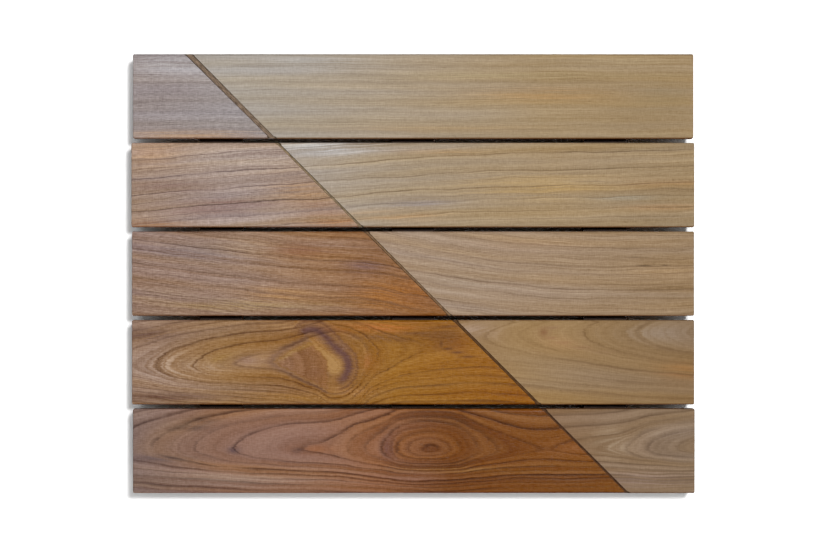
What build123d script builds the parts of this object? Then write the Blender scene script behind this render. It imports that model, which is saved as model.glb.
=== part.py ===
from build123d import *
from math import cos, radians, tan
import os

# A flat panel of five decking boards, laid side by side with open gaps and
# screwed from below to three cross battens. A shallow saw kerf runs across
# the faces of all five boards at an angle.
# X runs along the boards, Y across them and Z up. The origin is on the
# underside of the middle batten, at the centre of the panel. Millimetres.

# Boards
board_length = 600.0
board_width = 90.0
board_thickness = 19.0
board_gap = 4.5
arris_radius = 3.0
end_bevel = 0.8

# How far each board, from +Y to -Y, stops short of board_length at its two ends
left_trims = (1.6, 0.0, 0.6, 0.6, 1.6)
right_trims = (1.4, 0.4, 0.6, 0.5, 0.0)

# Battens: one at the centre of the panel, and two set in from the boards' ends
batten_width = 45.0
batten_thickness = 20.0
board_overhang = 71.5
batten_side_inset = 10.0
batten_bevel = 1.5

# Kerf: its angle to the boards' cross direction, where its line crosses the
# middle of the panel, and its depth and its widths at the two edges of each
# board, from +Y to -Y
kerf_angle = 45.0
kerf_offset = -5.2
kerf_depths = (1.6, 0.9, 1.3, 2.0, 2.2)
kerf_upper_widths = (6.0, 2.6, 2.9, 3.1, 2.5)
kerf_lower_widths = (4.6, 2.6, 2.7, 2.9, 2.3)

# Countersunk screws, two at each crossing of a board and a batten
screw_diameter = 4.2
screw_head_diameter = 8.0
screw_head_angle = 90.0
screw_head_rim = 0.4
screw_head_recess = 0.4
screw_bite = 10.4
screw_point = 4.0
screw_spacing = 50.0
screw_clearance = 0.1
drive_size = 2.6
drive_depth = 1.8

# Places and sizes that follow from the values above
board_count = len(left_trims)
board_pitch = board_width + board_gap
panel_width = board_count * board_pitch - board_gap
board_face = batten_thickness + board_thickness
board_middles = [((board_count - 1) / 2 - index) * board_pitch for index in range(board_count)]
batten_length = panel_width - 2 * batten_side_inset
batten_spacing = board_length / 2 - board_overhang - batten_width / 2
batten_places = {"left": -batten_spacing, "middle": 0.0, "right": batten_spacing}
screw_radius = screw_diameter / 2
screw_head_radius = screw_head_diameter / 2
screw_head_slope = tan(radians(screw_head_angle / 2))
screw_length = batten_thickness - screw_head_recess + screw_bite
hole_radius = screw_radius + screw_clearance
countersink_depth = screw_head_recess + screw_head_rim
countersink_radius = screw_head_radius + screw_clearance + countersink_depth * screw_head_slope


def screw_rows(middle):
    """Y places of the two screws under the board whose middle line is at y = middle."""
    return [middle + screw_spacing / 2, middle - screw_spacing / 2]


def kerf_corners(index):
    """Corners of the kerf's outline over one board, seen from above."""
    upper_y = board_middles[index] + board_width / 2
    lower_y = board_middles[index] - board_width / 2
    upper_x, lower_x = [kerf_offset - y * tan(radians(kerf_angle)) for y in (upper_y, lower_y)]
    upper_half = kerf_upper_widths[index] / 2 / cos(radians(kerf_angle))
    lower_half = kerf_lower_widths[index] / 2 / cos(radians(kerf_angle))
    return [
        (upper_x - upper_half, upper_y),
        (upper_x + upper_half, upper_y),
        (lower_x + lower_half, lower_y),
        (lower_x - lower_half, lower_y),
    ]


def make_board(index):
    """One board with rounded arrises, its stretch of the kerf and its pilot holes."""
    middle = board_middles[index]
    left_end = left_trims[index] - board_length / 2
    right_end = board_length / 2 - right_trims[index]
    section = Plane(
        origin=(left_end, middle, batten_thickness + board_thickness / 2),
        x_dir=(0, 1, 0),
        z_dir=(1, 0, 0),
    )
    pilot_holes = [
        Plane(origin=(place, row, batten_thickness), z_dir=(0, 0, -1))
        for place in batten_places.values()
        for row in screw_rows(middle)
    ]
    with BuildPart() as board:
        with BuildSketch(section):
            RectangleRounded(board_width, board_thickness, arris_radius)
        extrude(amount=right_end - left_end)
        chamfer(board.faces().filter_by(Axis.X).edges(), end_bevel)
        with BuildSketch(Plane.XY.offset(board_face)):
            Polygon(*kerf_corners(index), align=None)
        extrude(amount=-kerf_depths[index], mode=Mode.SUBTRACT)
        with Locations(*pilot_holes):
            Hole(hole_radius, depth=screw_bite + screw_clearance)
    board.part.label = f"board_{index + 1}"
    return board.part


def make_batten(name, place):
    """A cross batten with a countersunk hole for each of its screws."""
    holes = [
        Plane(origin=(place, row, 0), z_dir=(0, 0, -1))
        for middle in board_middles
        for row in screw_rows(middle)
    ]
    with BuildPart() as batten:
        with BuildSketch():
            with Locations((place, 0)):
                Rectangle(batten_width, batten_length)
        extrude(amount=batten_thickness)
        underside_edges = batten.faces().sort_by(Axis.Z)[0].edges()
        corner_edges = batten.edges().filter_by(Axis.Z)
        chamfer(underside_edges + corner_edges, batten_bevel)
        with Locations(*holes):
            CounterSinkHole(
                hole_radius,
                countersink_radius,
                depth=batten_thickness,
                counter_sink_angle=screw_head_angle,
            )
    batten.part.label = f"{name}_batten"
    return batten.part


def make_screw():
    """One square-drive screw, with its head at z = 0 and its point up."""
    head_depth = screw_head_rim + (screw_head_radius - screw_radius) / screw_head_slope
    with BuildPart() as screw:
        with BuildSketch(Plane.XZ):
            with BuildLine():
                Polyline(
                    (0, 0),
                    (screw_head_radius, 0),
                    (screw_head_radius, screw_head_rim),
                    (screw_radius, head_depth),
                    (screw_radius, screw_length - screw_point),
                    (0, screw_length),
                    close=True,
                )
            make_face()
        revolve(axis=Axis.Z)
        with BuildSketch():
            Rectangle(drive_size, drive_size)
        extrude(amount=drive_depth, mode=Mode.SUBTRACT)
    return screw.part


def make_screws(name, place, screw):
    """The screws of one batten, each a solid of its own."""
    heads = [(place, row, screw_head_recess) for middle in board_middles for row in screw_rows(middle)]
    with BuildPart() as screws:
        with Locations(*heads):
            add(screw)
    screws.part.label = f"{name}_batten_screws"
    return screws.part


os.makedirs("parts", exist_ok=True)
pieces = [make_board(index) for index in range(board_count)]
one_screw = make_screw()
for batten_name, batten_place in batten_places.items():
    pieces.append(make_batten(batten_name, batten_place))
    pieces.append(make_screws(batten_name, batten_place, one_screw))
for piece in pieces:
    export_step(piece, f"parts/{piece.label}.step")
print(f"panel {board_length:g} x {panel_width:g} x {board_face:g} mm, screws {screw_length:g} mm long")
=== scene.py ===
import math
import bpy
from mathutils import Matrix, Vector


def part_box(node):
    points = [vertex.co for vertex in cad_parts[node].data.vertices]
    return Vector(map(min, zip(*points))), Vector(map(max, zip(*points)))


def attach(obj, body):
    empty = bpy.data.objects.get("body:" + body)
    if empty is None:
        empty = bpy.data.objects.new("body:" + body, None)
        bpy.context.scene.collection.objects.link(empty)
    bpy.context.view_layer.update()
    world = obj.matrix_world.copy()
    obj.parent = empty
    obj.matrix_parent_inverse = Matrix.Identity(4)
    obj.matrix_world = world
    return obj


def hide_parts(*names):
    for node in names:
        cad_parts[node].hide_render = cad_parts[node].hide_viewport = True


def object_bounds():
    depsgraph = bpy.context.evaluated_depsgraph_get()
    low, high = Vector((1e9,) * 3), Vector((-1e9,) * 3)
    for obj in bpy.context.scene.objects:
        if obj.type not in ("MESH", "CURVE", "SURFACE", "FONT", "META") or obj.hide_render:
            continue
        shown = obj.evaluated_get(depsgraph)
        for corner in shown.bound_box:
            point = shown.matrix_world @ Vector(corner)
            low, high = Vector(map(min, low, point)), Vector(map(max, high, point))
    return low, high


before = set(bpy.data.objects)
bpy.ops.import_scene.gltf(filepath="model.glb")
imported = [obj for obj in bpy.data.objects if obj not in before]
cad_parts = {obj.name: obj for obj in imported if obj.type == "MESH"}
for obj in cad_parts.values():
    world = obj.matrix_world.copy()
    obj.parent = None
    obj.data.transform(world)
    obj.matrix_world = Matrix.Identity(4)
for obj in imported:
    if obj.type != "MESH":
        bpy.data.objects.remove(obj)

cadLow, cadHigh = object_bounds()
print("frame loaded:", len(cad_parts), "nodes")

mm = 0.001
screenGamma = 2.2
noiseSpan = (0.35, 0.65)    # a noise lies round 0.5, and mostly between these two
faceHeight = cadHigh.z / mm


def middleOf(name, axis):
    low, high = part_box(name)
    return (low[axis] + high[axis]) / 2 / mm


# Colour and node helpers


def paint(red, green, blue):
    # a colour as it reads on screen, 0 to 255, turned into the light values that nodes use
    values = []
    for part in (red, green, blue):
        part = part / 255
        values.append(part / 12.92 if part <= 0.04045 else ((part + 0.055) / 1.055) ** 2.4)
    return (*values, 1.0)


def plug(value, socket):
    if isinstance(value, bpy.types.NodeSocket):
        socket.id_data.links.new(value, socket)
    else:
        socket.default_value = value


def addNode(kind, fills, **settings):
    # a node in the tree that its values come from, with its settings and then its inputs filled in
    tree = next(value.id_data for value in fills.values() if isinstance(value, bpy.types.NodeSocket))
    node = tree.nodes.new(kind)
    for title, setting in settings.items():
        setattr(node, title, setting)
    for title, value in fills.items():
        plug(value, node.inputs[title])
    return node


def maths(operation, *values, clamp=False):
    fills = dict(enumerate(values))
    return addNode("ShaderNodeMath", fills, operation=operation, use_clamp=clamp).outputs[0]


def plus(first, second):
    return maths("ADD", first, second)


def minus(first, second):
    return maths("SUBTRACT", first, second)


def times(first, second, clamp=False):
    return maths("MULTIPLY", first, second, clamp=clamp)


def over(first, second):
    return maths("DIVIDE", first, second)


def timesPlus(first, second, third, clamp=False):
    return maths("MULTIPLY_ADD", first, second, third, clamp=clamp)


def larger(first, second):
    return maths("MAXIMUM", first, second)


def sizeOf(value):
    return maths("ABSOLUTE", value)


def square(value):
    return times(value, value)


def lengthOf(first, second):
    return maths("SQRT", plus(square(first), square(second)))


def bell(value):
    # 1 where the value is 0, fading smoothly to 0 on both sides
    return maths("EXPONENT", times(square(value), -1.0))


def bellAt(value, middle, width):
    return bell(over(minus(value, middle), width))


def mixColour(factor, first, second, blend="MIX", clamp=False):
    fills = {0: factor, 6: first, 7: second}
    node = addNode("ShaderNodeMix", fills, data_type="RGBA", blend_type=blend, clamp_result=clamp)
    return node.outputs[2]


def mixValue(factor, first, second):
    return addNode("ShaderNodeMix", {0: factor, 2: first, 3: second}, data_type="FLOAT").outputs[0]


def rangeOf(value, low, high, toLow=0.0, toHigh=1.0, kind="SMOOTHSTEP"):
    fills = {0: value, 1: low, 2: high, 3: toLow, 4: toHigh}
    return addNode("ShaderNodeMapRange", fills, interpolation_type=kind).outputs[0]


def joinXYZ(x, y, z):
    return addNode("ShaderNodeCombineXYZ", {0: x, 1: y, 2: z}).outputs[0]


def splitXYZ(vector):
    return addNode("ShaderNodeSeparateXYZ", {0: vector}).outputs


def shadeBy(colour, tone):
    return mixColour(1.0, colour, joinXYZ(tone, tone, tone), "MULTIPLY")


def noiseOf(place, detail, roughness=0.5):
    fills = {"Vector": place, "Scale": 1.0, "Detail": detail, "Roughness": roughness}
    return addNode("ShaderNodeTexNoise", fills).outputs["Fac"]


def longNoise(along, across, size, seed):
    # a noise with its own size in mm along and across the grain
    length, spacing = size
    return noiseOf(joinXYZ(over(along, length), over(across, spacing), seed), detail=2.0)


def gammaOf(colour, power):
    return addNode("ShaderNodeGamma", {"Color": colour, "Gamma": power}).outputs[0]


def shiftTone(colour, tone, warmth):
    # moves the tone by steps that look even on screen, so that fine grain doesn't change the hue; where it
    # gets warmer, blue goes down by a whole step and red goes up by half of one
    shown = gammaOf(colour, 1 / screenGamma)
    grey = addNode("ShaderNodeRGBToBW", {0: shown}).outputs[0]
    step, warmStep = times(grey, tone), times(grey, warmth)
    shift = joinXYZ(timesPlus(warmStep, 0.5, step), step, minus(step, warmStep))
    return gammaOf(mixColour(1.0, shown, shift, "ADD", clamp=True), screenGamma)


def curveOf(along, points):
    # a smooth curve through (along, value) points in mm, read at a place along the board
    low, high = points[0][0], points[-1][0]
    bottom = min(value for _, value in points)
    spread = max(value for _, value in points) - bottom
    node = addNode("ShaderNodeFloatCurve", {"Value": rangeOf(along, low, high, kind="LINEAR")})
    curve = node.mapping.curves[0]
    spots = [((place - low) / (high - low), (value - bottom) / spread) for place, value in points]
    curve.points[0].location = spots[0]
    curve.points[1].location = spots[-1]
    for spot in spots[1:-1]:
        curve.points.new(*spot)
    node.mapping.update()
    return timesPlus(node.outputs[0], spread, bottom)


def gradientOf(along, stops):
    # colours that blend into each other along the board, each at its place in mm
    low, high = stops[0][0], stops[-1][0]
    node = addNode("ShaderNodeValToRGB", {"Fac": rangeOf(along, low, high, kind="LINEAR")})
    ramp = node.color_ramp
    while len(ramp.elements) < len(stops):
        ramp.elements.new(0.5)
    for element, (place, colour) in zip(ramp.elements, stops):
        element.position = (place - low) / (high - low)
        element.color = paint(*colour)
    return node.outputs["Color"]


def newGroup(name, inputs, outputs):
    # a group whose inputs and outputs are plain values
    tree = bpy.data.node_groups.new(name, "ShaderNodeTree")
    for way, titles in (("INPUT", inputs), ("OUTPUT", outputs)):
        for title in titles:
            tree.interface.new_socket(title, in_out=way, socket_type="NodeSocketFloat")
    entry = tree.nodes.new("NodeGroupInput")
    leave = tree.nodes.new("NodeGroupOutput")
    return tree, entry.outputs, leave.inputs


def useGroup(group, **values):
    # a keyword such as halfWidth fills the socket named Half Width
    fills = {}
    for title, value in values.items():
        words = "".join(" " + letter if letter.isupper() else letter for letter in title)
        fills[words.title()] = value
    return addNode("ShaderNodeGroup", fills, node_tree=group).outputs


def newMaterial(name):
    # also gives the place on the panel in mm and the way that each face looks
    material = bpy.data.materials.new(name)
    material.use_nodes = True
    nodes = material.node_tree.nodes
    coords = nodes.new("ShaderNodeTexCoord").outputs
    place = [over(value, mm) for value in splitXYZ(coords["Object"])]
    return material, nodes["Principled BSDF"], place, coords["Normal"]


def addBump(shader, look, relief):
    fills = {"Strength": look["bump"], "Distance": look["bumpHeight"], "Height": relief}
    plug(addNode("ShaderNodeBump", fills).outputs[0], shader.inputs["Normal"])


def dress(name, material):
    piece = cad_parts[name]
    piece.data.materials.clear()
    piece.data.materials.append(material)


# Shared wood effects, all of them in mm. Each noise: length, spacing, detail, its own shift. A fade goes
# from its first value to its second.

grainLook = {
    "bands": (520, 6, 4, 0), "hue": (260, 12, 1, 51), "fine": (110, 0.9, 2, 19), "veins": (380, 2.4, 3, 11),
    "fibres": (6, 0.95, 3, 23), "strands": (24, 0.75, 2, 83), "dashes": (5, 0.5, 1, 37),
    "ripple": (1.3, 7, 1, 71), "hairWidth": 0.03, "hairsByHue": (0.4, 0.58, 0.35, 1.0),
    "poreFrom": (0.58, 0.7), "poresByFine": (0.6, 0.4), "roughness": 0.55, "hueRoughness": 0.4,
}
kerfLook = {
    # the dark kerf colour is painted shade on the kerf's walls and floor
    "offset": -5.2, "halfWidths": (2.65, 1.3, 1.4, 1.5, 1.2), "dirt": paint(38, 26, 18), "streaks": 0.65,
    "edgeFade": (-0.2, 0.2), "topFade": (0.08, 0.2), "floorFade": (3.2, 2.8), "sideFade": (0.9, 0.6),
    "wallWidth": 0.6, "streakSize": (0.12, 1.6), "streakFade": (0.38, 0.62),
}


def makeLineGroup():
    # one growth line: crisp on its inner side and fading on its outer side
    tree, given, out = newGroup(
        "growth line", ["Ring", "Slope", "Place", "Crisp", "Soft", "Strength", "So Far"], ["Dark"])
    distance = over(minus(given["Ring"], given["Place"]), given["Slope"])
    outer = over(larger(distance, 0.0), given["Soft"])
    inner = over(maths("MINIMUM", distance, 0.0), given["Crisp"])
    line = times(bell(minus(outer, inner)), given["Strength"])
    room = minus(1.0, given["So Far"])
    plug(timesPlus(line, room, given["So Far"]), out["Dark"])
    return tree


def makeSpotGroup():
    # a soft oval spot: 1 in its middle and 0 well outside its reach
    tree, given, out = newGroup(
        "soft spot", ["Along", "Across", "Middle Along", "Middle Across", "Reach Along", "Reach Across"],
        ["Spot"])
    total = 0.0
    for way in ("Along", "Across"):
        off = minus(given[way], given["Middle " + way])
        total = plus(square(over(off, given["Reach " + way])), total)
    plug(maths("EXPONENT", times(total, -1.0)), out["Spot"])
    return tree


def makeGrainGroup():
    # bands and hairlines that follow the growth rings, straight fibres, open pores and slow changes
    tree, given, out = newGroup(
        "teak grain", ["Along", "Across", "Down", "Ring", "Seed"],
        ["Bands", "Hairs", "Fine", "Fibres", "Strands", "Pores", "Hue", "Ripple"])

    def ringwise(title, roughness=grainLook["roughness"]):
        length, spacing, detail, shift = grainLook[title]
        place = joinXYZ(over(given["Along"], length), over(given["Ring"], spacing),
                        plus(given["Seed"], shift))
        return noiseOf(place, detail, roughness)

    def straight(title):
        length, spacing, detail, shift = grainLook[title]
        deep = over(given["Down"], spacing)
        place = joinXYZ(over(given["Along"], length), over(given["Across"], spacing),
                        plus(deep, plus(given["Seed"], shift)))
        return noiseOf(place, detail)

    hue, fine = ringwise("hue", grainLook["hueRoughness"]), ringwise("fine")
    vein = sizeOf(minus(ringwise("veins"), 0.5))
    hairs = times(rangeOf(vein, grainLook["hairWidth"], 0.0), rangeOf(hue, *grainLook["hairsByHue"]))
    pores = times(rangeOf(straight("dashes"), *grainLook["poreFrom"]),
                  rangeOf(fine, *grainLook["poresByFine"]))
    made = {"Bands": ringwise("bands"), "Hairs": hairs, "Fine": fine, "Fibres": straight("fibres"),
            "Strands": straight("strands"), "Pores": pores, "Hue": hue, "Ripple": straight("ripple")}
    for title, value in made.items():
        plug(value, out[title])
    return tree


def makeKerfGroup():
    # where a point lies beside the sawn kerf: past it, inside it, and at its two walls
    tree, given, out = newGroup(
        "kerf", ["Along", "Panel Across", "Height", "Offset", "Half Width", "Face"],
        ["Past", "Inside", "Left Wall", "Right Wall", "Streaks"])
    look = kerfLook
    total = minus(plus(given["Along"], given["Panel Across"]), given["Offset"])
    away = times(total, math.sqrt(0.5))
    plug(rangeOf(away, *look["edgeFade"]), out["Past"])
    depth = minus(given["Face"], given["Height"])
    sunk = times(rangeOf(depth, *look["topFade"]), rangeOf(depth, *look["floorFade"]))
    near = rangeOf(minus(sizeOf(away), given["Half Width"]), *look["sideFade"])
    plug(times(sunk, near), out["Inside"])
    for title, sign in (("Left Wall", -1.0), ("Right Wall", 1.0)):
        wall = times(given["Half Width"], sign)
        plug(bellAt(away, wall, look["wallWidth"]), out[title])
    perAlong, perAcross = look["streakSize"]
    lengthwise = times(minus(given["Along"], given["Panel Across"]), perAlong)
    streaks = noiseOf(joinXYZ(lengthwise, times(away, perAcross), 0.0), detail=3.0, roughness=0.6)
    plug(rangeOf(streaks, *look["streakFade"]), out["Streaks"])
    return tree


lineGroup = makeLineGroup()
spotGroup = makeSpotGroup()
grainGroup = makeGrainGroup()
kerfGroup = makeKerfGroup()
print("wood effects built")

# The five boards. Places are mm along the panel from its middle, and mm across the board from its own
# middle. One side of the kerf is oiled, the other is bare, and pairs of values are for these two sides.
# Colours are as they read on screen, but oiledLine and bareLine dim the light under a growth line.
# Some side colours and patches hold painted light: a grey sheen towards the upper left, and pale highlights
# near the upper arrises.
# wander: how far the lines stray. dip: how fast they shift with depth. arris: how strong the painted
# highlight on the upper arris is.
# bend: how far the growth lines climb along the board.
# axis, narrow, eye: on a board cut through the heart, the middle of its arches, how much closer their lower
# side lies, and their opening.
# lines: place, crisp width, soft width, strength. Patches: along, across, reach along, reach across,
# strength, colour. faint: soft spots where the lines nearly vanish, as along, across and their reaches.
# heart: where a branch began, a leaf-shaped part with its pale rim and dark hollow, the pale streak that
# runs into a glowing spot, and the dark bands round both, each as its distance, width and strength.

heartLook = {
    "along": -91.5, "across": 3, "lean": 0.9, "edgeFade": (-2, 2),
    "leaf": (136, 92, 60), "leafShare": 0.65, "leafRing": 33, "leafFade": (-0.5, 3), "leafGrain": 0.5,
    "leafFine": 0.5, "leafBands": 1.4,
    "rim": (158, 118, 58), "rimShare": 0.6, "rimPlace": 3.2, "rimWidth": 2.4, "rimFade": (-3, 5),
    "hollow": (104, 72, 60), "hollowShare": 0.55, "hollowPlace": -3.2, "hollowWidth": 2.8,
    "streakTop": (-108, 20), "streakShare": 0.5, "streakEnd": 0.7, "glowPlace": (-84, -4), "reach": (8, 13),
    "glow": (180, 140, 88), "glowShare": 0.8, "glowFade": 9, "glowCalm": 0.75,
    "band": (92, 60, 60), "bands": [(16, 7, 0.45), (15.5, 3.4, 0.35), (25, 1.5, 0.35)],
    "footFade": (4, 14), "footReach": 10, "headFade": (7, 13), "headEdge": (-16, 6), "ringsFade": (34, 24),
}
boardOne = {
    "seed": 3, "wander": 4.8, "dip": 0.15, "fine": 0.6, "hairs": 0.28, "arris": 0, "bands": (0.7, 0.6),
    "fibres": (0.75, 0.42), "strands": (0.3, 0.4), "hue": (0.2, 0.36), "swing": (1.2, 0.95),
    "kerf": (150, 128, 108), "kerfWalls": (0.95, 0.8), "oiledLine": (0.42, 0.35, 0.31, 1),
    "bareLine": (0.44, 0.4, 0.38, 1), "bend": [(-300, 0), (-120, 0.6), (40, -0.5), (180, 0.4), (300, 0)],
    "lines": [
        (-36, 2, 4, 0.2), (-31, 0.4, 0.8, 0.2), (-20, 0.4, 0.8, 0.16), (-6, 0.4, 0.9, 0.18),
        (5, 0.4, 0.9, 0.15), (14, 0.5, 1.2, 0.18), (20.5, 0.4, 0.8, 0.22), (31, 0.4, 1, 0.18),
    ],
    # board one's grey-violet oiled colours, its greyish bare colour at the left end and its pale grey
    # patches hold a painted sheen
    "faint": [], "oiled": [(-300, (157, 145, 142)), (-140, (158, 151, 151))],
    "oiledPatches": [
        (-235, -41, 80, 5, 0.8, (174, 142, 114)), (-240, 35, 60, 11, 0.8, (175, 169, 170)),
        (-264, 5, 36, 11, 0.5, (140, 127, 126)), (-240, -23, 60, 3.5, 0.4, (174, 166, 168)),
    ],
    "bare": [
        (-200, (170, 161, 150)), (0, (168, 150, 126)), (140, (162, 139, 105)), (300, (160, 136, 102)),
    ],
    "barePatches": [
        (150, 2, 75, 8, 0.5, (182, 140, 88)), (40, -36, 120, 5, 0.4, (172, 142, 100)),
        (120, 22, 160, 3, 0.4, (176, 158, 120)), (245, -22, 80, 14, 0.45, (146, 122, 88)),
        (268, 0, 44, 22, 0.7, (148, 126, 92)), (235, 39, 54, 5, 0.5, (174, 152, 116)),
        (198, 4, 30, 10, 0.35, (152, 126, 84)), (-115, 37, 60, 7, 0.5, (176, 170, 162)),
    ],
}
boardTwo = {
    "seed": 17, "wander": 7.2, "dip": 0.4, "fine": 0.5, "hairs": 0.22, "arris": 0.25, "bands": (0.7, 0.6),
    "fibres": (0.62, 0.42), "strands": (0.3, 0.4), "hue": (0.8, 0.5), "swing": (1.5, 1.1),
    "kerf": (160, 138, 108), "kerfWalls": (0.2, 1), "oiledLine": (0.26, 0.21, 0.23, 1),
    "bareLine": (0.36, 0.3, 0.24, 1),
    "bend": [(-300, 0), (-222, 6.5), (-107, 14.5), (-14, 21.5), (71, 26), (183, 28.5), (300, 32)],
    "lines": [
        (6, 0.3, 0.7, 0.78), (-12, 0.3, 0.8, 0.72), (-29, 0.3, 0.8, 0.8), (1, 0.3, 0.7, 0.32),
        (25, 0.3, 0.7, 0.45), (15, 0.3, 0.7, 0.36), (-20.5, 0.4, 1, 0.36), (-36, 0.3, 0.7, 0.36),
        (-42, 0.3, 0.8, 0.45), (-55, 0.3, 0.8, 0.5), (-64, 0.5, 1.4, 0.4),
    ],
    "faint": [], "oiled": [(-300, (161, 137, 120)), (-200, (168, 147, 134)), (-80, (163, 138, 117))],
    "oiledPatches": [
        (-278, 34, 34, 13, 0.5, (184, 144, 108)), (-257, -2, 44, 6, 0.6, (134, 102, 92)),
        (-190, -19, 40, 4, 0.7, (128, 94, 88)), (-200, -28, 32, 6, 0.6, (150, 130, 124)),
        (-118, -6, 32, 12, 0.55, (178, 136, 92)), (-82, -38, 36, 7, 0.65, (166, 118, 78)),
        # the pale patch at -180, 27 is a painted sheen
        (-283, -42, 45, 5, 0.6, (156, 112, 76)), (-180, 27, 60, 9, 0.8, (186, 166, 149)),
        (-222, -26, 56, 9, 0.6, (143, 113, 100)), (-98, -23, 30, 8, 0.45, (148, 108, 84)),
    ],
    "bare": [
        (-140, (173, 160, 146)), (0, (166, 147, 122)), (150, (163, 139, 106)), (300, (156, 133, 101)),
    ],
    "barePatches": [
        # the near-white patch at -97, 40 is a painted highlight on the upper arris
        (-97, 40, 45, 7, 0.9, (198, 193, 187)), (132, -3, 80, 16, 0.65, (176, 144, 92)),
        (275, 0, 42, 5, 0.4, (180, 132, 84)), (270, -24, 42, 4, 0.4, (174, 128, 86)),
        (5, -19, 38, 6, 0.6, (148, 134, 126)), (230, -14, 42, 5, 0.5, (148, 139, 122)),
        (265, -38, 50, 5, 0.5, (134, 114, 90)), (34, 35, 48, 3, 0.5, (186, 150, 108)),
        (-19, -33, 52, 6, 0.5, (182, 146, 108)), (272, -8, 32, 18, 0.45, (143, 120, 88)),
    ],
}
boardThree = {
    "seed": 31, "wander": 6.4, "dip": 0.5, "fine": 0.7, "hairs": 0.4, "arris": 0.1, "bands": (0.6, 0.45),
    "fibres": (0.75, 0.42), "strands": (0.7, 0.6), "hue": (0.7, 0.38), "swing": (1.5, 1.1),
    "kerf": (156, 122, 88), "kerfWalls": (0.9, 0.9), "oiledLine": (0.28, 0.21, 0.22, 1),
    "bareLine": (0.36, 0.28, 0.23, 1),
    "bend": [
        (-300, 0), (-195, -13), (-94, -23.5), (-46, -25.5), (-9, -32), (39, -40), (119, -50), (199, -54),
        (300, -53),
    ],
    "lines": [
        (36.8, 0.45, 1.2, 0.62), (11.5, 0.4, 1.1, 0.48), (27, 0.4, 1, 0.34), (61, 0.4, 1, 0.42),
        (69, 0.4, 0.9, 0.34), (81, 0.5, 1, 0.38), (41.6, 0.4, 0.9, 0.24), (53, 0.4, 1, 0.26),
        (3, 0.4, 1, 0.3), (-8, 0.4, 1, 0.26), (-17, 0.4, 1, 0.28), (-27, 0.5, 1.4, 0.3),
    ],
    "faint": [],
    "oiled": [
        (-300, (149, 121, 105)), (-180, (153, 124, 103)), (-100, (149, 112, 82)), (20, (135, 90, 48)),
    ],
    "oiledPatches": [
        (-222, 24, 62, 13, 0.6, (138, 120, 114)), (-119, 26, 30, 7, 0.6, (134, 82, 54)),
        (-52, 8, 22, 9, 0.5, (112, 82, 82)), (-180, -34, 90, 6, 0.5, (164, 134, 80)),
        (-30, -23, 36, 17, 0.6, (160, 100, 34)), (-268, -24, 34, 8, 0.8, (164, 136, 112)),
        (12, -22, 34, 18, 0.6, (154, 94, 34)), (-175, 30, 30, 8, 0.4, (168, 140, 114)),
        (-140, -22, 42, 10, 0.5, (172, 127, 76)), (-94, 31, 34, 6, 0.45, (158, 128, 108)),
    ],
    "bare": [(-80, (168, 145, 124)), (100, (162, 137, 111)), (300, (151, 125, 94))],
    "barePatches": [
        (270, 2, 46, 10, 0.5, (162, 132, 96)), (120, 30, 60, 8, 0.4, (168, 138, 110)),
        (40, -10, 50, 10, 0.4, (158, 138, 118)), (236, 17.5, 13, 0.8, 0.9, (100, 78, 58)),
        (246, 8.4, 9, 0.8, 1.2, (78, 58, 42)), (268, 9.2, 5, 0.8, 1, (88, 68, 50)),
    ],
}
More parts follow.
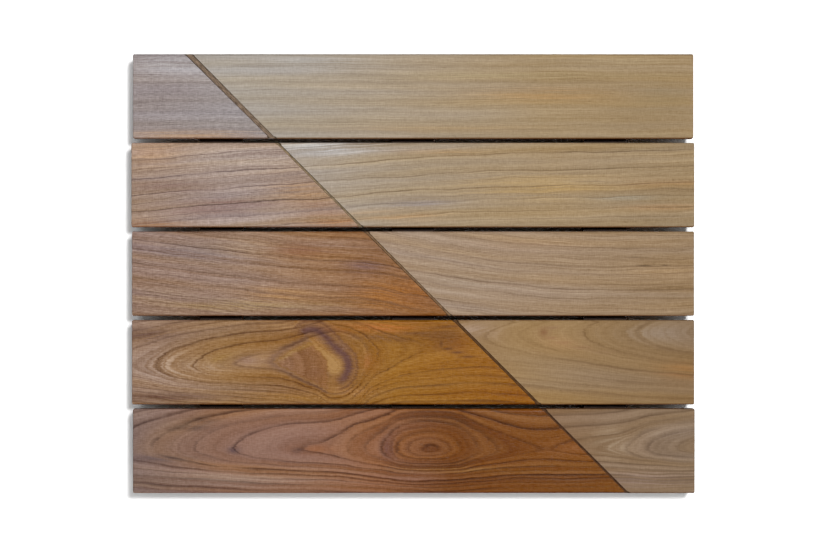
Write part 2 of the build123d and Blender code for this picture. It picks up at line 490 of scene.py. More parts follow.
boardFour = {
    "seed": 47, "wander": 5.6, "dip": 0.8, "fine": 0.45, "hairs": 0.2, "arris": 0.5, "bands": (0.72, 0.35),
    "fibres": (0.62, 0.42), "strands": (0.6, 0.4), "hue": (0.65, 0.75), "swing": (1.4, 0.85),
    "heart": heartLook, "kerf": (112, 78, 46), "kerfWalls": (0.55, 0.7), "oiledLine": (0.31, 0.21, 0.18, 1),
    "bareLine": (0.56, 0.48, 0.42, 1),
    "axis": [
        (-300, -4.3), (-233, -4.3), (-147, 0), (-86, -2), (-42, 8), (32, 20), (100, 29), (140, 31),
        (300, 33),
    ],
    "narrow": [
        (-300, 1.8), (-200, 1.6), (-165, 1.4), (-105, 1.35), (-84, 1.12), (-50, 1.15), (32, 0.95),
        (140, 0.8), (300, 0.78),
    ],
    "eye": [
        (-300, 51), (-276, 47.5), (-254, 43), (-233, 40.1), (-209, 36.5), (-179, 34.5), (-147, 33),
        (-134, 31), (-124, 28), (-114, 23.5), (-104, 17), (-94, 9), (-84, 0), (-70, -14), (-57, -27),
        (-50, -33), (-42, -38.5), (-25, -43), (-10, -45.5), (60, -47.5), (110, -45), (138, -43),
        (190, -39.5), (233, -35.5), (300, -30),
    ],
    "lines": [
        (29.5, 0.6, 1.6, 0.18), (35, 0.8, 2.6, 0.5), (40.1, 0.4, 1.6, 0.66), (47, 0.4, 1.4, 0.66),
        (54, 0.5, 1.6, 0.46), (58.5, 0.4, 1.4, 0.4), (63, 0.5, 2, 0.55), (69, 0.4, 1.6, 0.42),
        (75, 0.6, 2.2, 0.52), (84, 0.6, 2.2, 0.5), (95, 0.8, 2.4, 0.44),
    ],
    "faint": [(-212, -15, 46, 9), (-47, -4, 11, 15), (22, 17, 50, 15), (110, 20, 30, 22)],
    "oiled": [
        (-300, (153, 123, 101)), (-200, (154, 119, 83)), (-120, (142, 100, 57)), (-20, (151, 102, 34)),
        (120, (142, 87, 8)),
    ],
    "oiledPatches": [
        (-101, 21, 7, 8, 0.5, (168, 124, 78)), (-102, -10, 11, 5, 0.6, (112, 72, 50)),
        (-145, 39, 34, 4, 0.6, (168, 126, 78)), (-97, 34.5, 15, 3.5, 0.4, (104, 70, 62)),
        (-69, -4, 5, 10, 0.45, (96, 62, 62)), (-76, 15, 7, 7, 0.4, (128, 96, 84)),
        (-46, 0, 9, 10, 0.5, (164, 100, 48)), (-254, -5, 38, 15, 0.8, (178, 155, 140)),
        (-205, 5, 30, 8, 0.7, (150, 115, 70)), (-178, 2, 16, 6, 0.5, (134, 102, 86)),
        (-70, -31, 24, 4, 0.6, (180, 132, 82)), (-130, -38, 60, 5, 0.6, (164, 118, 56)),
        (-35, 37, 50, 6, 0.7, (170, 102, 44)), (-42, 27, 26, 3, 0.5, (118, 84, 64)),
        (-14, 24, 24, 3, 0.6, (112, 70, 34)), (6, 31, 20, 1.8, 0.7, (100, 60, 28)),
        (38, 38, 15, 1.8, 0.6, (104, 62, 30)), (30, 20.5, 1.8, 3.6, 1, (62, 32, 18)),
        (24, 18, 6, 5, 0.4, (112, 66, 40)), (46, 21, 14, 8, 0.6, (136, 78, 28)),
        (37, 14.5, 6, 1.5, 0.7, (96, 56, 26)), (47, 10.5, 7, 1.5, 0.7, (100, 58, 26)),
        (59, 6, 9, 1.6, 0.6, (108, 64, 26)), (26, 28, 30, 11, 0.95, (118, 73, 24)),
        (-240, -22, 34, 8, 0.5, (172, 140, 112)), (-290, 30, 36, 7, 0.85, (112, 84, 72)),
        (-270, -37, 60, 4, 0.85, (102, 72, 60)),
    ],
    "bare": [(30, (142, 111, 77)), (110, (154, 125, 88)), (300, (136, 109, 77))],
    "barePatches": [
        (63, 33, 26, 9, 0.7, (166, 140, 118)), (139, 32, 5, 5, 0.7, (132, 96, 66)),
        (147, 26, 6, 1.5, 0.6, (140, 104, 74)), (160, 21, 9, 1.6, 0.6, (140, 106, 76)),
        (180, 16, 13, 1.8, 0.5, (140, 108, 78)), (207, 11, 16, 2, 0.4, (140, 110, 80)),
        (148, 37, 8, 1.8, 0.5, (140, 108, 80)), (156, 20, 26, 9, 0.25, (168, 130, 90)),
        (247, 31, 46, 9, 0.5, (150, 128, 104)), (289, -9, 26, 12, 0.6, (150, 110, 70)),
        (120, -20, 60, 12, 0.3, (160, 130, 90)),
    ],
}
boardFive = {
    "seed": 61, "wander": 6, "dip": 0.8, "fine": 0.3, "hairs": 0.12, "arris": 0.8, "bands": (1.1, 1),
    "fibres": (0.42, 0.42), "strands": (0.25, 0.45), "hue": (0.8, 0.38), "swing": (1.4, 0.9),
    "kerf": (104, 70, 46), "kerfWalls": (0.2, 0.85), "oiledLine": (0.24, 0.18, 0.18, 1),
    "bareLine": (0.42, 0.36, 0.34, 1), "axis": [(-300, 1.5), (-120, 2.5), (20, 1.6), (230, 2.2), (300, 3)],
    "narrow": [(-300, 2.1), (0, 2), (300, 2.1)],
    "eye": [
        (-300, 70), (-261, 64.4), (-190, 54), (-121, 46.6), (-88, 45.2), (-61, 38.6), (-33, 30.5),
        (-12, 16), (19, 0), (50, -19), (69, -30.5), (95, -37), (134, -41), (172, -39.8), (228, -36),
        (251, -30.5), (300, -22),
    ],
    "lines": [
        (4, 1, 2.4, 0.6), (12, 1, 2, 0.3), (19, 1.1, 2.6, 0.58), (25, 1, 1.6, 0.3), (30.5, 1.2, 3.2, 0.58),
        (36, 1.1, 3.4, 0.52), (41, 1, 1.8, 0.4), (46.4, 0.7, 2.2, 0.66), (54, 0.7, 2.2, 0.62),
        (60, 0.9, 2.4, 0.38), (66.8, 1, 3, 0.76), (73.3, 0.9, 2.6, 0.54), (80, 0.9, 2.4, 0.48),
        (88, 1, 3.2, 0.6), (101, 1.2, 3.2, 0.52),
    ],
    "faint": [(-278, 0, 18, 9), (-196, -18, 20, 5), (-55, -4, 16, 8), (70, 2, 26, 7)],
    "oiled": [
        (-300, (129, 105, 94)), (-200, (144, 108, 89)), (-110, (145, 104, 79)), (-40, (142, 94, 63)),
        (40, (119, 69, 25)), (240, (121, 71, 13)),
    ],
    "oiledPatches": [
        # the pale grey patch at -225, -32 is a painted sheen
        (-275, -8, 46, 4, 0.7, (108, 88, 84)), (-225, -32, 90, 9, 0.5, (150, 130, 116)),
        (-238, 25, 22, 3.5, 0.9, (88, 66, 62)), (-224, 33, 16, 4, 0.8, (98, 72, 64)),
        (-135, 0, 50, 14, 0.3, (124, 90, 72)), (-107, 2, 23, 5, 0.6, (156, 98, 56)),
        (-123, 1, 6, 3, 0.9, (78, 58, 54)), (-191, 1, 7, 4, 0.7, (92, 70, 70)),
        (-27, 3, 8, 14, 0.6, (106, 68, 58)), (0, -27, 30, 9, 0.6, (136, 94, 71)),
        (167, 3, 30, 8, 0.6, (144, 94, 56)), (18, 2, 9, 3, 0.7, (88, 48, 28)),
        (-260, 28, 40, 8, 0.4, (146, 118, 100)), (-60, 30, 30, 8, 0.5, (142, 96, 62)),
        (60, -20, 90, 3, 0.5, (136, 94, 46)), (80, 35, 60, 5, 0.4, (132, 84, 40)),
        (165, -29, 36, 7, 0.45, (140, 94, 56)),
    ],
    "bare": [(130, (136, 106, 78)), (230, (134, 109, 84)), (300, (137, 114, 90))],
    "barePatches": [
        (211, 8, 17, 18, 0.6, (158, 137, 114)), (240, -30, 48, 8, 0.7, (154, 130, 114)),
        (270, 20, 30, 8, 0.3, (150, 128, 106)),
    ],
}
boardLooks = [boardOne, boardTwo, boardThree, boardFour, boardFive]

woodLook = {
    "wanderSize": (62, 15), "jagSize": (11, 1.8), "jag": 9.0, "leastSlope": 0.12,
    "fadeSize": (90, 11), "fadeShift": 5, "fade": (0.32, 0.6, 0.45, 1.15), "faint": 0.85, "bareLines": 0.85,
    "ragged": (0.38, 0.6, 0.15, 1.5), "ripple": 0.28, "pores": 0.14, "toneStep": 0.5, "hueStep": 0.4,
    "under": paint(150, 124, 98), "underFade": (14.0, 17.0), "underShare": 0.8,
    # the lightening of the upper arris here is a painted highlight
    "paintedHighlight": (1.32, 1.34, 1.40, 1), "paintedHighlightAcross": (42.9, 43.8), "paintedHighlightDepth": (1.6, 0.6),
    # the side tint on the lower arris and the sides between the boards is painted shade
    "gapShadeTint": (0.72, 0.44, 0.24, 1), "lowerArrisShade": (-43.4, -44.9), "sideFade": (44.5, 44.9),
    "gapShadeDepth": (1.5, 4.0), "end": paint(136, 104, 78), "endShare": 0.65, "endTone": 0.72,
    "endFade": (0.75, 0.95),
    "gloss": (0.28, 0.66), "kerfGloss": 0.85, "glossSwing": 0.35, "specular": 0.10,
    "bump": 0.35, "bumpHeight": 0.0004, "poreRelief": 0.8, "lineRelief": 0.5,
}


def heartShares(heart, along, across, ring, slope):
    # right and left are the two sides of the leaf's leaning right edge
    high = larger(minus(across, heart["across"]), 0.0)
    fromEdge = timesPlus(high, heart["lean"], minus(along, heart["along"]))
    right = rangeOf(fromEdge, *heart["edgeFade"])
    left = minus(1.0, right)
    inward = over(minus(heart["leafRing"], ring), slope)
    rim = times(bellAt(inward, heart["rimPlace"], heart["rimWidth"]), rangeOf(across, *heart["rimFade"]))
    hollow = bellAt(inward, heart["hollowPlace"], heart["hollowWidth"])

    # how far down the streak a point lies, and how far away from it
    topAlong, topAcross = heart["streakTop"]
    glowAlong, glowAcross = heart["glowPlace"]
    runAlong, runAcross = glowAlong - topAlong, glowAcross - topAcross
    squared = runAlong ** 2 + runAcross ** 2
    offAlong, offAcross = minus(along, topAlong), minus(across, topAcross)
    down = times(offAcross, runAcross / squared)
    down = timesPlus(offAlong, runAlong / squared, down, clamp=True)
    away = lengthOf(timesPlus(down, -runAlong, offAlong), timesPlus(down, -runAcross, offAcross))
    reach = mixValue(down, *heart["reach"])
    glow = times(rangeOf(minus(reach, away), 0.0, heart["glowFade"]),
                 rangeOf(down, 0.0, heart["streakEnd"], heart["streakShare"], 1.0))

    # the dark bands leave out the glow's foot and reach past the leaf's edge over the streak's head
    bands = 0.0
    for place, width, strength in heart["bands"]:
        bands = timesPlus(bellAt(away, place, width), strength, bands)
    footFrom, footTo = heart["footFade"]
    foot = times(rangeOf(across, glowAcross - footFrom, glowAcross - footTo),
                 rangeOf(along, glowAlong + heart["footReach"], glowAlong))
    headFrom, headTo = heart["headFade"]
    head = rangeOf(across, topAcross + headFrom, topAcross + headTo)
    bandSide = mixValue(head, right, rangeOf(fromEdge, *heart["headEdge"]))
    return {
        "leaf": times(rangeOf(inward, *heart["leafFade"]), left),
        "rim": times(rim, left),
        "hollow": times(hollow, left),
        "glow": times(glow, right),
        "band": times(times(bands, minus(1.0, foot)), bandSide),
        "near": times(rangeOf(away, *heart["ringsFade"]), right),
        "away": away,
        "fromEdge": fromEdge,
    }


def ringField(look, along, across, depth):
    # the growth ring that each point lies in, as mm across the face, and how fast it changes there
    sunk = times(depth, look["dip"])
    if "bend" in look:
        return minus(minus(across, curveOf(along, look["bend"])), sunk), 1.0
    off = minus(across, curveOf(along, look["axis"]))
    below = times(maths("MINIMUM", off, 0.0), curveOf(along, look["narrow"]))
    side = plus(larger(off, 0.0), below)
    eye = curveOf(along, look["eye"])
    steep = minus(curveOf(plus(along, 1.0), look["eye"]), eye)    # how much the eye opens in 1 mm
    eye = plus(eye, sunk)
    ring = lengthOf(eye, side)
    climb = square(times(eye, steep))
    slope = maths("SQRT", plus(climb, square(side)))
    slope = over(slope, larger(ring, 1.0))
    return ring, larger(slope, woodLook["leastSlope"])


def spotOf(spot, along, across):
    middleAlong, middleAcross, reachAlong, reachAcross = spot
    return useGroup(spotGroup, along=along, across=across, middleAlong=middleAlong,
                    middleAcross=middleAcross, reachAlong=reachAlong, reachAcross=reachAcross)["Spot"]


def drawLines(look, along, across, ring, slope):
    # growth lines come and go along their length
    fadeSeed = look["seed"] + woodLook["fadeShift"]
    fading = rangeOf(longNoise(along, across, woodLook["fadeSize"], fadeSeed), *woodLook["fade"])
    dark = 0.0
    for place, crisp, soft, strength in look["lines"]:
        dark = useGroup(lineGroup, ring=ring, slope=slope, place=place, crisp=crisp, soft=soft,
                        strength=times(fading, strength), soFar=dark)["Dark"]
    for spot in look["faint"]:
        dark = times(dark, timesPlus(spotOf(spot, along, across), -woodLook["faint"], 1.0))
    return dark


def paintSide(look, side, along, across, ragged):
    # the side's slow change of colour along the board, with ragged patches of other colours on it; some of
    # these colours are a painted sheen or painted highlights
    colour = gradientOf(along, look[side])
    for *spot, strength, tint in look[side + "Patches"]:
        share = times(spotOf(spot, along, across), ragged)
        colour = mixColour(times(share, strength, clamp=True), colour, paint(*tint))
    return colour


def paintHeart(look, heart, colour):
    for part in ("leaf", "rim", "hollow", "glow"):
        colour = mixColour(times(heart[part], look[part + "Share"]), colour, paint(*look[part]))
    return mixColour(heart["band"], colour, paint(*look["band"]))


def undersideHighlightAndShade(look, across, depth, colour):
    # the underside was never oiled, and the upper arris is lightened with a painted highlight
    under = rangeOf(depth, *woodLook["underFade"], 0.0, woodLook["underShare"])
    colour = mixColour(under, colour, woodLook["under"])
    paintedHighlight = times(rangeOf(across, *woodLook["paintedHighlightAcross"]), rangeOf(depth, *woodLook["paintedHighlightDepth"]))
    colour = mixColour(times(paintedHighlight, look["arris"]), colour, woodLook["paintedHighlight"], "MULTIPLY")

    # painted shade browns and darkens the lower arris and the sides between the boards
    sides = times(rangeOf(sizeOf(across), *woodLook["sideFade"]), rangeOf(depth, *woodLook["gapShadeDepth"]))
    sides = larger(rangeOf(across, *woodLook["lowerArrisShade"]), sides)
    return mixColour(sides, colour, woodLook["gapShadeTint"], "MULTIPLY")


def grainSteps(look, heart, grain, past):
    # bands, fine lines and fibres move the tone, and the slow changes move the hue
    broad, fine = mixValue(past, *look["bands"]), look["fine"]
    if heart:
        fine = mixValue(heart["leaf"], fine, look["heart"]["leafFine"])
        broad = mixValue(heart["leaf"], broad, look["heart"]["leafBands"])
    strengths = {"Fibres": mixValue(past, *look["fibres"]),
                 "Strands": mixValue(past, *look["strands"]),
                 "Bands": broad, "Fine": fine, "Ripple": woodLook["ripple"]}
    swing = 0.0
    for title, strength in strengths.items():
        swing = timesPlus(minus(grain[title], 0.5), strength, swing)
    swing = timesPlus(grain["Pores"], -woodLook["pores"], swing)
    tone = times(times(swing, mixValue(past, *look["swing"])), woodLook["toneStep"])
    warmth = times(minus(grain["Hue"], 0.5), mixValue(past, *look["hue"]))
    warmth = times(warmth, woodLook["hueStep"])
    if heart:
        calm = timesPlus(heart["glow"], -look["heart"]["glowCalm"], 1.0)
        tone, warmth = times(tone, calm), times(warmth, calm)
    return tone, warmth


def kerfColours(look, kerf, colour):
    # the kerf's floor, streaked with painted shade, and painted shade along its walls, where the light
    # doesn't reach
    streaks = times(kerf["Streaks"], kerfLook["streaks"])
    floor = mixColour(streaks, paint(*look["kerf"]), kerfLook["dirt"])
    leftShade, rightShade = look["kerfWalls"]
    walls = larger(times(kerf["Left Wall"], leftShade), times(kerf["Right Wall"], rightShade))
    colour = mixColour(kerf["Inside"], colour, floor)
    return mixColour(times(walls, kerf["Inside"]), colour, kerfLook["dirt"])


def makeBoardMaterial(name, look, halfKerf):
    material, shader, (along, panelAcross, height), normal = newMaterial(name + " teak")
    across = minus(panelAcross, middleOf(name, 1))
    depth = minus(faceHeight, height)
    kerf = useGroup(kerfGroup, along=along, panelAcross=panelAcross, height=height,
                    offset=kerfLook["offset"], halfWidth=halfKerf, face=faceHeight)
    past, inside = kerf["Past"], kerf["Inside"]

    # a slow wander keeps the growth lines from running too true
    seed = look["seed"]
    wander = minus(longNoise(along, across, woodLook["wanderSize"], seed), 0.5)
    jag = minus(longNoise(along, across, woodLook["jagSize"], seed), 0.5)
    strayAlong = timesPlus(jag, woodLook["jag"], along)
    strayAcross = timesPlus(wander, look["wander"], across)
    ring, slope = ringField(look, strayAlong, strayAcross, depth)
    heart = None
    grainRing = ring
    if "heart" in look:
        heart = heartShares(look["heart"], strayAlong, strayAcross, ring, slope)
        leafRings = times(heart["fromEdge"], look["heart"]["leafGrain"])
        grainRing = mixValue(heart["leaf"], ring, leafRings)
        grainRing = mixValue(heart["near"], grainRing, heart["away"])
    grain = useGroup(grainGroup, along=along, across=across, down=depth, ring=grainRing, seed=seed)

    dark = drawLines(look, along, across, ring, slope)
    if heart:
        dark = times(dark, minus(1.0, larger(heart["leaf"], heart["glow"])))
    drawn = larger(dark, times(grain["Hairs"], look["hairs"]))

    # the oiled and the bare side, each with its own colours
    mixed = times(plus(grain["Bands"], grain["Fine"]), 0.5)
    ragged = rangeOf(mixed, *woodLook["ragged"])
    oiled, bare = [paintSide(look, side, along, across, ragged) for side in ("oiled", "bare")]
    if heart:
        oiled = paintHeart(look["heart"], heart, oiled)
    oiled = mixColour(drawn, oiled, look["oiledLine"], "MULTIPLY")
    bare = mixColour(times(drawn, woodLook["bareLines"]), bare, look["bareLine"], "MULTIPLY")
    colour = undersideHighlightAndShade(look, across, depth, mixColour(past, oiled, bare))
    colour = shiftTone(colour, *grainSteps(look, heart, grain, past))

    # sawn ends show their darker end grain
    ends = rangeOf(sizeOf(splitXYZ(normal)["X"]), *woodLook["endFade"])
    ends = times(ends, minus(1.0, inside))
    colour = mixColour(times(ends, woodLook["endShare"]), colour, woodLook["end"])
    colour = shadeBy(colour, mixValue(ends, 1.0, woodLook["endTone"]))
    plug(kerfColours(look, kerf, colour), shader.inputs["Base Color"])

    # oil leaves a satin sheen, bare wood and the kerf stay dull
    gloss = mixValue(past, *woodLook["gloss"])
    gloss = timesPlus(minus(grain["Fibres"], 0.5), woodLook["glossSwing"], gloss)
    plug(mixValue(inside, gloss, woodLook["kerfGloss"]), shader.inputs["Roughness"])
    shader.inputs["Specular IOR Level"].default_value = woodLook["specular"]
    relief = timesPlus(grain["Pores"], -woodLook["poreRelief"], grain["Fibres"])
    addBump(shader, woodLook, timesPlus(drawn, -woodLook["lineRelief"], relief))
    return material


boardNames = ["board_" + str(number) for number in range(1, len(boardLooks) + 1)]
for boardName, look, halfKerf in zip(boardNames, boardLooks, kerfLook["halfWidths"]):
    dress(boardName, makeBoardMaterial(boardName, look, halfKerf))
print("boards dressed")

# Battens: sawn teak that runs across the panel. Places and sizes in mm.

battenLook = {
    "heart": {"left_batten": (-14.0, -32.0), "middle_batten": (6.0, -46.0), "right_batten": (19.0, -27.0)},
    "seeds": {"left_batten": 81.0, "middle_batten": 97.0, "right_batten": 113.0},
    "wanderSize": (120, 25), "wander": 14.0, "ringSpacing": 5.2, "ringDark": (0.25, 0.94),
    "ringEnd": (1.0, 0.95), "ringsByHue": (0.35, 0.62, 0.25, 0.55), "hairs": 0.30,
    "light": paint(150, 112, 78), "dark": paint(116, 80, 54), "line": paint(78, 50, 34),
    "edge": paint(104, 72, 50), "edgeFade": (0.92, 0.75, 0.0, 0.5), "endTone": 0.66, "endFade": (0.75, 0.95),
    # the dark colour here is painted shade on the batten tops, seen down the gaps
    "dirt": paint(44, 29, 19), "paintedShadeFade": (0.7, 0.9, 0.0, 0.9),
    "sawStep": 1.7, "sawLean": 0.12, "sawTone": 0.05, "sawRelief": 0.35,
    "swing": 0.367, "gloss": 0.62, "glossSwing": 0.3, "specular": 0.3, "bump": 0.45, "bumpHeight": 0.0004,
}


def makeBattenMaterial(name):
    look = battenLook
    material, shader, (panelAlong, along, height), normal = newMaterial(name + " teak")
    across = minus(panelAlong, middleOf(name, 0))

    # growth rings round a heart that lies outside the batten, so that its ends show their arcs
    seed = look["seeds"][name]
    heartAcross, heartUp = look["heart"][name]
    wander = minus(longNoise(along, across, look["wanderSize"], seed), 0.5)
    sideways = timesPlus(wander, look["wander"], minus(across, heartAcross))
    ring = lengthOf(sideways, minus(height, heartUp))
    grain = useGroup(grainGroup, along=along, across=across, down=height, ring=ring, seed=seed)

    # each ring darkens slowly and ends in a dark line
    turn = maths("FRACT", over(ring, look["ringSpacing"]))
    late = times(rangeOf(turn, *look["ringDark"]), rangeOf(turn, *look["ringEnd"]))
    rings = times(late, rangeOf(grain["Hue"], *look["ringsByHue"]))
    colour = mixColour(rangeOf(grain["Bands"], *noiseSpan), look["light"], look["dark"])
    drawn = larger(rings, times(grain["Hairs"], look["hairs"]))
    colour = mixColour(drawn, colour, look["line"])

    # edges are handled and a little darker, and the tops, seen only down the gaps between the boards, are
    # darkened with painted shade
    faces = splitXYZ(normal)
    flatX, flatY, flatZ = [sizeOf(value) for value in faces]
    flat = larger(larger(flatX, flatZ), flatY)
    colour = mixColour(rangeOf(flat, *look["edgeFade"]), colour, look["edge"])
    colour = mixColour(rangeOf(faces["Z"], *look["paintedShadeFade"]), colour, look["dirt"])

    # the saw's marks cross the grain, at a slight lean, and the cut ends drink the oil
    saw = timesPlus(across, look["sawLean"], along)
    saw = maths("SINE", times(saw, 2 * math.pi / look["sawStep"]))
    saw = times(saw, rangeOf(grain["Ripple"], *noiseSpan))
    swing = 0.0
    for title in ("Bands", "Fine", "Fibres", "Ripple"):
        swing = timesPlus(minus(grain[title], 0.5), look["swing"], swing)
    lift = timesPlus(saw, look["sawTone"], plus(swing, 1.0))
    ends = rangeOf(flatY, *look["endFade"])
    lift = times(lift, mixValue(ends, 1.0, look["endTone"]))
    plug(shadeBy(colour, lift), shader.inputs["Base Color"])

    gloss = timesPlus(minus(grain["Fine"], 0.5), look["glossSwing"], look["gloss"])
    plug(gloss, shader.inputs["Roughness"])
    shader.inputs["Specular IOR Level"].default_value = look["specular"]
    addBump(shader, look, timesPlus(saw, look["sawRelief"], grain["Fibres"]))
    return material


battenNames = list(battenLook["seeds"])
for battenName in battenNames:
    dress(battenName, makeBattenMaterial(battenName))
print("battens dressed")

# Screws: countersunk stainless steel, with a square drive and a cut thread. Sizes in mm.

screwLook = {
    "sides": 24, "head": 4.0, "rim": 0.4, "rimBevel": 0.12, "dish": 0.1, "dishEdge": 0.45,
    "shank": 1.5, "core": 1.25, "neck": 0.6, "pointLength": 4.0, "tip": 0.12,
    "threadFrom": 11.0, "crest": 2.05, "pitch": 2.0, "threadFoot": 0.42, "threadSteps": 14,
    "bandsPerTurn": 8, "fadeBands": 6, "fadeFrom": 0.62,
    "drive": 2.6, "driveDepth": 1.8, "driveFloor": 2.2, "driveTaper": 0.08, "flat": 0.9, "smoothUnder": 32,
    "rowSpread": 25.0, "turns": (0.31, 1.12, 0.74, 1.37, 0.12, 0.95, 0.55, 1.49, 0.22, 0.83),
}
steelLook = {
    "bright": paint(202, 200, 196), "dull": paint(168, 165, 160), "markWidth": 0.11, "swing": 0.35,
    "gloss": 0.26, "glossSwing": 0.3, "smearGloss": 0.12, "bump": 0.25, "bumpHeight": 0.00005,
}


def setMode(mode):
    bpy.ops.object.mode_set(mode=mode)


def deselectAll():
    bpy.ops.object.select_all(action="DESELECT")


def onlySelect(piece):
    deselectAll()
    piece.select_set(True)
    bpy.context.view_layer.objects.active = piece


def squeeze(share):
    # in edit mode, bring what is selected closer to the axis
    bpy.ops.transform.resize(value=(share, share, 1), center_override=(0, 0, 0))


def growTo(radius, fromRadius, height, fromHeight):
    # in edit mode, extrude the selected ring or face along Z and bring it to its new radius
    bpy.ops.mesh.extrude_region_move(TRANSFORM_OT_translate={"value": (0, 0, (height - fromHeight) * mm)})
    squeeze(radius / fromRadius)


def selectFaces(piece, down):
    # in edit mode, select the flat face that looks straight down or straight up
    sign = -1 if down else 1
    bpy.ops.mesh.select_mode(type="FACE")
    bpy.ops.mesh.select_all(action="DESELECT")
    setMode("OBJECT")
    for face in piece.data.polygons:
        face.select = sign * face.normal.z > screwLook["flat"]
    setMode("EDIT")


def selectBand(piece, low, high):
    # in edit mode, select the points whose height lies in a band
    bpy.ops.mesh.select_mode(type="VERT")
    bpy.ops.mesh.select_all(action="DESELECT")
    setMode("OBJECT")
    for point in piece.data.vertices:
        point.select = low <= point.co.z / mm < high
    setMode("EDIT")


def makeScrewCore(start, length):
    # the turned body, from the rim of its head to its tip, then the dished face
    look = screwLook
    deselectAll()
    face = look["head"] - look["rimBevel"]
    bpy.ops.mesh.primitive_circle_add(vertices=look["sides"], radius=face * mm, fill_type="NGON",
                                      location=(0, 0, start * mm))
    bpy.ops.object.transform_apply(location=True, rotation=False, scale=False)
    core = bpy.context.object
    steps = [
        (look["head"], look["rimBevel"]),
        (look["head"], look["rim"]),
        (look["shank"], look["rim"] + look["head"] - look["shank"]),
        (look["shank"], look["threadFrom"] - look["neck"]),
        (look["core"], look["threadFrom"]),
        (look["core"], length - look["pointLength"]),
        (look["tip"], length),
    ]
    setMode("EDIT")
    radius, height = face, 0.0
    for nextRadius, nextHeight in steps:
        growTo(nextRadius, radius, start + nextHeight, start + height)
        radius, height = nextRadius, nextHeight

    # close the disc that the extrusion left open, turn the faces outwards and dish the head
    bpy.ops.mesh.select_all(action="SELECT")
    bpy.ops.mesh.fill_holes(sides=0)
    bpy.ops.mesh.normals_make_consistent(inside=False)
    selectFaces(core, down=True)
    bpy.ops.mesh.inset(thickness=look["dishEdge"] * mm)
    bpy.ops.transform.translate(value=(0, 0, look["dish"] * mm))
    setMode("OBJECT")
    return core


def cutDrive(core, start):
    # a square socket for the driver, a little narrower at its floor
    look = screwLook
    deselectAll()
    half = look["drive"] / 2 * math.sqrt(2)
    bpy.ops.mesh.primitive_cylinder_add(vertices=4, radius=half * mm, depth=2 * look["driveDepth"] * mm,
                                        location=(0, 0, start * mm))
    cutter = bpy.context.object
    setMode("EDIT")
    selectFaces(cutter, down=False)
    squeeze(1 - look["driveTaper"])
    growTo(look["tip"], half, start + look["driveFloor"], start + look["driveDepth"])
    setMode("OBJECT")
    onlySelect(core)
    cut = core.modifiers.new("drive", "BOOLEAN")
    cut.operation = "DIFFERENCE"
    cut.object = cutter
    bpy.ops.object.modifier_apply(modifier=cut.name)
    onlySelect(cutter)
    bpy.ops.object.delete()


def makeThread(start, length):
    # a ridge of diamond section wound round the core, fading in at its start and out on the point
    look = screwLook
    deselectAll()
    bpy.ops.mesh.primitive_circle_add(vertices=4, radius=1.0 * mm, fill_type="NOTHING")
    thread = bpy.context.object
    setMode("EDIT")
    bpy.ops.transform.rotate(value=math.pi / 2, orient_axis="X", center_override=(0, 0, 0))
    reach = look["crest"] - look["core"]
    bpy.ops.transform.resize(value=(reach, 1, look["threadFoot"]), center_override=(0, 0, 0))
    bpy.ops.transform.translate(value=(look["core"] * mm, 0, (start + look["threadFrom"]) * mm))
    setMode("OBJECT")
    wind = thread.modifiers.new("wind", "SCREW")
    wind.axis = "Z"
    wind.screw_offset = look["pitch"] * mm
    wind.iterations = int((length - look["threadFrom"] - look["threadFoot"]) / look["pitch"])
    wind.steps = wind.render_steps = look["threadSteps"]
    bpy.ops.object.modifier_apply(modifier=wind.name)
    setMode("EDIT")
    bpy.ops.mesh.select_all(action="SELECT")
    bpy.ops.mesh.fill_holes(sides=4)
    bpy.ops.mesh.select_all(action="SELECT")
    bpy.ops.mesh.normals_make_consistent(inside=False)

    # draw the ridge in, band by band, along the point and at its start
    top, pointFrom = start + length, start + length - look["pointLength"]
    step = look["pitch"] / look["bandsPerTurn"]
    bands = [(pointFrom + step * count, (top - pointFrom - step * (count + 0.5)) / look["pointLength"])
             for count in range(round(look["pointLength"] / step))]
    first = start + look["threadFrom"] - look["threadFoot"]
    for count in range(look["fadeBands"]):
        share = look["fadeFrom"] + (1 - look["fadeFrom"]) * count / look["fadeBands"]
        bands.append((first + step * count, share))
    for low, share in bands:
        selectBand(thread, low, low + step)
        squeeze(share)
    setMode("OBJECT")
    return thread


def makeScrew(start, length):
    core = makeScrewCore(start, length)
    cutDrive(core, start)
    thread = makeThread(start, length)
    thread.select_set(True)
    core.select_set(True)
    bpy.context.view_layer.objects.active = core
    bpy.ops.object.join()
    bpy.ops.object.shade_smooth_by_angle(angle=math.radians(screwLook["smoothUnder"]))
    return core


def makeSteelMaterial():
    # turning marks run round each screw, which stands in one of two rows under every board
    look = steelLook
    material, shader, (along, across, height), _ = newMaterial("brushed screw steel")
    fromBatten = maths("WRAP", along, battenStep / 2, -battenStep / 2)
    fromMiddle = maths("WRAP", across, boardStep / 2, -boardStep / 2)
    radius = lengthOf(fromBatten, minus(sizeOf(fromMiddle), screwLook["rowSpread"]))
    marks = joinXYZ(over(radius, look["markWidth"]), over(height, look["markWidth"]), along)
    turned = noiseOf(marks, detail=2.0)
    smear = noiseOf(joinXYZ(along, across, height), detail=3.0, roughness=0.6)
    swing = minus(turned, 0.5)
    tint = mixColour(rangeOf(smear, *noiseSpan), look["bright"], look["dull"])
    colour = shadeBy(tint, timesPlus(swing, look["swing"], 1.0))
    plug(colour, shader.inputs["Base Color"])
    shader.inputs["Metallic"].default_value = 1.0
    gloss = timesPlus(swing, look["glossSwing"], look["gloss"])
    plug(timesPlus(smear, look["smearGloss"], gloss), shader.inputs["Roughness"])
    addBump(shader, look, turned)
    return material


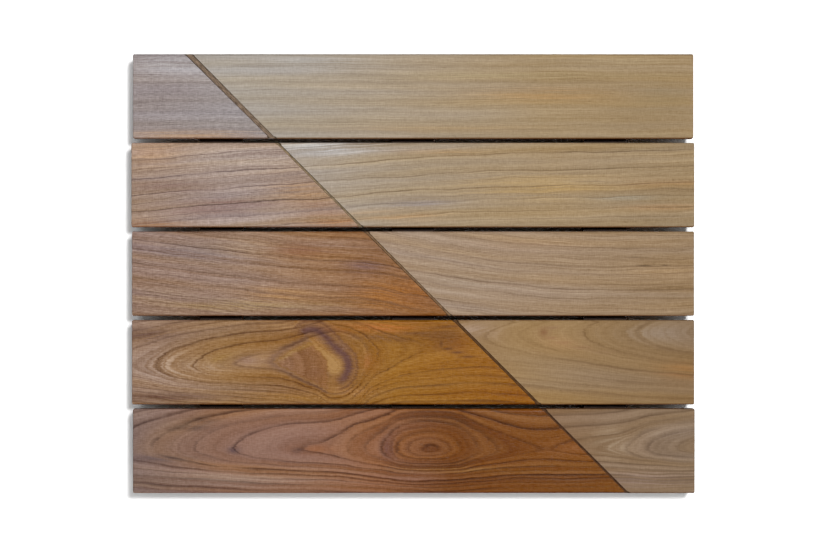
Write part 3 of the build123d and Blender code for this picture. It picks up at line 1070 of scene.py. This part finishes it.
def placeScrews(screw, battenName, steel):
    # two screws to a board, each turned its own way, joined into one piece for the batten
    copies = []
    for number, boardName in enumerate(boardNames):
        for side, sign in enumerate((1, -1)):
            onlySelect(screw)
            bpy.ops.object.duplicate(linked=False)
            row = middleOf(boardName, 1) + sign * screwLook["rowSpread"]
            bpy.ops.transform.rotate(value=screwLook["turns"][2 * number + side], orient_axis="Z",
                                     center_override=(0, 0, 0))
            bpy.ops.transform.translate(value=(middleOf(battenName, 0) * mm, row * mm, 0))
            copies.append(bpy.context.object)
    for copy in copies:
        copy.select_set(True)
    bpy.context.view_layer.objects.active = copies[0]
    bpy.ops.object.join()
    piece = bpy.context.object
    bpy.ops.object.transform_apply(location=True, rotation=True, scale=True)
    nodeName = battenName + "_screws"
    piece.name = nodeName + "_turned"
    piece.data.name = piece.name
    piece.data.materials.clear()
    piece.data.materials.append(steel)
    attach(piece, "root")
    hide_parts(nodeName)


screwLow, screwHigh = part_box(battenNames[0] + "_screws")
boardStep = middleOf(boardNames[0], 1) - middleOf(boardNames[1], 1)
battenStep = middleOf(battenNames[2], 0) - middleOf(battenNames[1], 0)
steel = makeSteelMaterial()
screw = makeScrew(screwLow[2] / mm, (screwHigh[2] - screwLow[2]) / mm)
for battenName in battenNames:
    placeScrews(screw, battenName, steel)
onlySelect(screw)
bpy.ops.object.delete()
print("screws made and placed")

# Floor, light and camera

floorLook = {"size": 12.0, "grey": 0.20, "seenAs": 1.5}
lampLooks = {
    "key lamp": {"place": (0.86, 0.86, 4.1), "size": 0.7, "power": 131.0},
    "fill lamp": {"place": (-0.5, -3.0, 3.6), "size": 2.4, "power": 52.0},
}
skyLook = {"height": 0.55, "spread": 0.22, "sideFade": (0.10, 0.45), "strength": 0.5}
cameraLook = {"height": 2.4, "pixel": 1.0648 * mm, "shiftDown": 2.0 * mm, "framePixels": 826}


def makeFloor():
    deselectAll()
    bpy.ops.mesh.primitive_plane_add(size=floorLook["size"])
    floor = bpy.context.object
    floor.name = "floor"
    material = bpy.data.materials.new("studio floor")
    material.use_nodes = True
    tree = material.node_tree
    tree.nodes.clear()
    diffuse = tree.nodes.new("ShaderNodeBsdfDiffuse")
    out = tree.nodes.new("ShaderNodeOutputMaterial")
    path = tree.nodes.new("ShaderNodeLightPath")
    grey, seen = floorLook["grey"], floorLook["seenAs"]
    shown = larger(path.outputs["Is Camera Ray"], path.outputs["Is Glossy Ray"])
    plug(mixColour(shown, (grey, grey, grey, 1), (seen, seen, seen, 1)), diffuse.inputs["Color"])
    plug(diffuse.outputs[0], out.inputs["Surface"])
    floor.data.materials.append(material)


def makeLamps():
    for name, look in lampLooks.items():
        bpy.ops.object.light_add(type="AREA", location=look["place"])
        lamp = bpy.context.object
        lamp.name = name
        lamp.data.size = look["size"]
        lamp.data.energy = look["power"]
        lamp.rotation_euler = (-lamp.location).to_track_quat("-Z", "Y").to_euler()


def makeSky():
    world = bpy.data.worlds.new("studio")
    bpy.context.scene.world = world
    world.use_nodes = True
    tree = world.node_tree
    back = tree.nodes["Background"]
    ways = splitXYZ(tree.nodes.new("ShaderNodeTexCoord").outputs["Generated"])
    path = tree.nodes.new("ShaderNodeLightPath")
    ring = bellAt(ways["Z"], skyLook["height"], skyLook["spread"])
    facing = rangeOf(sizeOf(ways["Y"]), *skyLook["sideFade"])
    ambient = times(times(ring, facing), skyLook["strength"])
    plug(mixValue(path.outputs["Is Camera Ray"], ambient, 1.0), back.inputs["Strength"])
    back.inputs["Color"].default_value = (1, 1, 1, 1)


def makeCamera():
    bpy.ops.object.camera_add(location=(0.0, -cameraLook["shiftDown"], cameraLook["height"]))
    camera = bpy.context.object
    camera.name = "camera"
    width = cameraLook["framePixels"] * cameraLook["pixel"]
    camera.data.lens = camera.data.sensor_width * (cameraLook["height"] - cadHigh.z) / width
    bpy.context.scene.camera = camera


makeFloor()
makeLamps()
makeSky()
makeCamera()
bpy.context.scene.view_settings.view_transform = "Standard"
print("studio ready")
